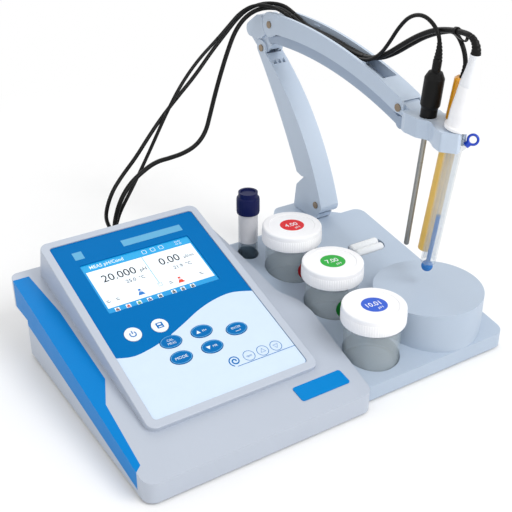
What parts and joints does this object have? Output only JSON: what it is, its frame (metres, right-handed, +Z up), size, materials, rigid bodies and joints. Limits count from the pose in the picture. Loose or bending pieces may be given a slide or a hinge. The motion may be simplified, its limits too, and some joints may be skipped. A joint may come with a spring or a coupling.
{
  "type": "benchtop ph conductivity meter",
  "caption": "Sloped bench meter with colour screen and film keys, bottle tray, magnetic stirrer and a double-parallelogram arm holding probes over a blue-trimmed console.",
  "frame": {"origin": "on the bench surface, at the middle of the outline of everything but the cables", "axes": "+X to the user's right along the console front, +Y to the back, +Z up"},
  "size_m": [0.324, 0.312, 0.2575],
  "materials": {
    "housing_paint": "fine satin lacquer over moulded resin, light grey blue",
    "arm_resin": "satin moulded resin, light steel blue",
    "tray_resin": "fine textured moulded resin",
    "trim_blue": "gloss strip",
    "bezel_resin": "fine textured moulded resin",
    "overlay_film": "printed film, blue with a pale wave",
    "screen_glass": "lit liquid crystal screen behind film",
    "board": "green circuit laminate",
    "key_film": "printed film keys",
    "plate_film": "bare blue plate",
    "floor_resin": "ribbed underside",
    "rubber_black": "soft black rubber",
    "steel": "turned steel",
    "socket_metal": "nickel plated sockets",
    "magnet": "plated magnet",
    "motor_metal": "drawn motor can",
    "bottle_resin": "clear thick-walled jar with a small label",
    "cap_red_face": "white ribbed cap with a red disc",
    "cap_green_face": "white ribbed cap with a green disc",
    "cap_blue_face": "white ribbed cap with a blue disc",
    "vial_glass": "clear vial",
    "vial_cap_blue": "dark blue cap",
    "stir_coating": "white coated stir bar",
    "handle_rubber": "ribbed black handle",
    "cond_cap_yellow": "amber moulded cap",
    "cond_stem_cream": "cream resin stem",
    "ph_cap_white": "white moulded cap",
    "ph_boot_white": "soft strain relief",
    "ph_glass": "clear glass body",
    "ph_inner_blue": "blue inner tube and bulb",
    "stopper_blue": "soft blue filling stopper",
    "cable_black": "black sheath"
  },
  "bodies": {
    "console": {"console_cover": "housing_paint", "side_trim": "trim_blue", "console_floor": "floor_resin", "display_bezel": "bezel_resin", "front_overlay": "overlay_film", "lcd_module": "screen_glass", "main_board": "board", "name_plate": "plate_film", "rear_sockets": "socket_metal", "ph_plug": "rubber_black", "cond_plug": "rubber_black", "temp_plug": "rubber_black", "tray_cover": "tray_resin", "tray_floor": "floor_resin", "rubber_feet": "rubber_black", "case_screws": "steel", "stirrer_motor": "motor_metal", "foot_plug": "rubber_black"},
    "stirrer_rotor": {"magnet_carrier": "socket_metal", "drive_magnets": "magnet"},
    "arm_foot": {"arm_foot_bracket": "arm_resin"},
    "lower_arm_body": {"lower_arm": "arm_resin", "lower_arm_screws": "steel", "ph_cable": "cable_black", "cond_cable": "cable_black", "temp_cable": "cable_black"},
    "rear_link_body": {"rear_link": "arm_resin"},
    "elbow": {"elbow_bracket": "arm_resin"},
    "upper_arm_body": {"upper_arm_shell": "arm_resin", "upper_arm_screws": "steel"},
    "upper_link_body": {"upper_link": "arm_resin"},
    "probe_head": {"electrode_holder": "arm_resin", "temp_probe_handle": "handle_rubber", "temp_probe_rod": "steel", "cond_electrode_cap": "cond_cap_yellow", "cond_electrode_stem": "cond_stem_cream", "ph_electrode_cap": "ph_cap_white", "ph_electrode_boot": "ph_boot_white", "ph_electrode_body": "ph_glass", "ph_inner_tube": "ph_inner_blue", "filler_stopper": "stopper_blue"},
    "red_bottle": {"bottle_red": "bottle_resin"},
    "green_bottle": {"bottle_green": "bottle_resin"},
    "blue_bottle": {"bottle_blue": "bottle_resin"},
    "red_cap": {"cap_red": "cap_red_face"},
    "green_cap": {"cap_green": "cap_green_face"},
    "blue_cap": {"cap_blue": "cap_blue_face"},
    "vial": {"vial_tube": "vial_glass"},
    "vial_lid": {"vial_cap": "vial_cap_blue"},
    "stir_bar_left": {"stir_bar_1": "stir_coating"},
    "stir_bar_right": {"stir_bar_2": "stir_coating"},
    "key_power_body": {"key_power": "key_film"},
    "key_print_body": {"key_print": "key_film"},
    "key_mode_select_body": {"key_mode_select": "key_film"},
    "key_up_body": {"key_up": "key_film"},
    "key_enter_body": {"key_enter": "key_film"},
    "key_down_body": {"key_down": "key_film"},
    "key_mode_body": {"key_mode": "key_film"}
  },
  "joints": [
    {"name": "arm_swivel", "type": "hinge", "parent": "console", "child": "arm_foot", "pos_m": [0.1195, 0.057, 0.047], "axis": [0, 0, 1], "range_deg": [-20, 60], "deforming": ["ph_cable", "cond_cable", "temp_cable"]},
    {"name": "lower_arm_lift", "type": "hinge", "parent": "arm_foot", "child": "lower_arm_body", "pos_m": [0.1195, 0.041, 0.063], "axis": [1, 0, 0], "range_deg": [-3, 45], "deforming": ["ph_cable", "cond_cable", "temp_cable"]},
    {"name": "rear_link_follow", "type": "hinge", "parent": "arm_foot", "child": "rear_link_body", "pos_m": [0.1195, 0.0595, 0.0762], "axis": [1, 0, 0], "range_deg": [-3, 45]},
    {"name": "elbow_follow", "type": "hinge", "parent": "lower_arm_body", "child": "elbow", "pos_m": [0.1195, 0.131, 0.184], "axis": [1, 0, 0], "range_deg": [-45, 3], "deforming": ["ph_cable", "cond_cable", "temp_cable"]},
    {"name": "upper_arm_lift", "type": "hinge", "parent": "elbow", "child": "upper_arm_body", "pos_m": [0.1195, 0.1185, 0.2078], "axis": [1, 0, 0], "range_deg": [-45, 2.5], "deforming": ["ph_cable", "cond_cable", "temp_cable"]},
    {"name": "upper_link_follow", "type": "hinge", "parent": "elbow", "child": "upper_link_body", "pos_m": [0.1195, 0.1175, 0.1957], "axis": [1, 0, 0], "range_deg": [-45, 2.5]},
    {"name": "head_follow", "type": "hinge", "parent": "upper_arm_body", "child": "probe_head", "pos_m": [0.1195, -0.0575, 0.1846], "axis": [1, 0, 0], "range_deg": [-2.5, 45], "deforming": ["ph_cable", "cond_cable", "temp_cable"]},
    {"name": "stirrer_spin", "type": "hinge", "parent": "console", "child": "stirrer_rotor", "pos_m": [0.116, -0.103, 0.034], "axis": [0, 0, 1], "continuous": true},
    {"name": "key_power_press", "type": "slide", "parent": "console", "child": "key_power_body", "axis": [0, 0.289, -0.9573], "range_m": [0, 0.0004], "stiffness_N_per_m": 1500},
    {"name": "key_print_press", "type": "slide", "parent": "console", "child": "key_print_body", "axis": [0, 0.289, -0.9573], "range_m": [0, 0.0004], "stiffness_N_per_m": 1500},
    {"name": "key_mode_select_press", "type": "slide", "parent": "console", "child": "key_mode_select_body", "axis": [0, 0.289, -0.9573], "range_m": [0, 0.0004], "stiffness_N_per_m": 1500},
    {"name": "key_up_press", "type": "slide", "parent": "console", "child": "key_up_body", "axis": [0, 0.289, -0.9573], "range_m": [0, 0.0004], "stiffness_N_per_m": 1500},
    {"name": "key_enter_press", "type": "slide", "parent": "console", "child": "key_enter_body", "axis": [0, 0.289, -0.9573], "range_m": [0, 0.0004], "stiffness_N_per_m": 1500},
    {"name": "key_down_press", "type": "slide", "parent": "console", "child": "key_down_body", "axis": [0, 0.289, -0.9573], "range_m": [0, 0.0004], "stiffness_N_per_m": 1500},
    {"name": "key_mode_press", "type": "slide", "parent": "console", "child": "key_mode_body", "axis": [0, 0.289, -0.9573], "range_m": [0, 0.0004], "stiffness_N_per_m": 1500},
    {"name": "red_bottle_lift", "type": "slide", "parent": "console", "child": "red_bottle", "axis": [0, 0, 1], "range_m": [0, 0.06]},
    {"name": "red_cap_lift", "type": "slide", "parent": "red_bottle", "child": "red_cap", "axis": [0, 0, 1], "range_m": [0, 0.02]},
    {"name": "green_bottle_lift", "type": "slide", "parent": "console", "child": "green_bottle", "axis": [0, 0, 1], "range_m": [0, 0.06]},
    {"name": "green_cap_lift", "type": "slide", "parent": "green_bottle", "child": "green_cap", "axis": [0, 0, 1], "range_m": [0, 0.02]},
    {"name": "blue_bottle_lift", "type": "slide", "parent": "console", "child": "blue_bottle", "axis": [0, 0, 1], "range_m": [0, 0.06]},
    {"name": "blue_cap_lift", "type": "slide", "parent": "blue_bottle", "child": "blue_cap", "axis": [0, 0, 1], "range_m": [0, 0.02]},
    {"name": "vial_lift", "type": "slide", "parent": "console", "child": "vial", "axis": [0, 0, 1], "range_m": [0, 0.06]},
    {"name": "vial_lid_lift", "type": "slide", "parent": "vial", "child": "vial_lid", "axis": [0, 0, 1], "range_m": [0, 0.025]},
    {"name": "stir_bar_left_lift", "type": "slide", "parent": "console", "child": "stir_bar_left", "axis": [0, -0.1702, 0.9854], "range_m": [0, 0.03]},
    {"name": "stir_bar_right_lift", "type": "slide", "parent": "console", "child": "stir_bar_right", "axis": [0, -0.1702, 0.9854], "range_m": [0, 0.03]}
  ],
  "couplings": [
    {"joint": "rear_link_follow", "follows": "lower_arm_lift", "ratio": 1},
    {"joint": "elbow_follow", "follows": "lower_arm_lift", "ratio": -1},
    {"joint": "upper_link_follow", "follows": "upper_arm_lift", "ratio": 1},
    {"joint": "head_follow", "follows": "upper_arm_lift", "ratio": -1}
  ]
}
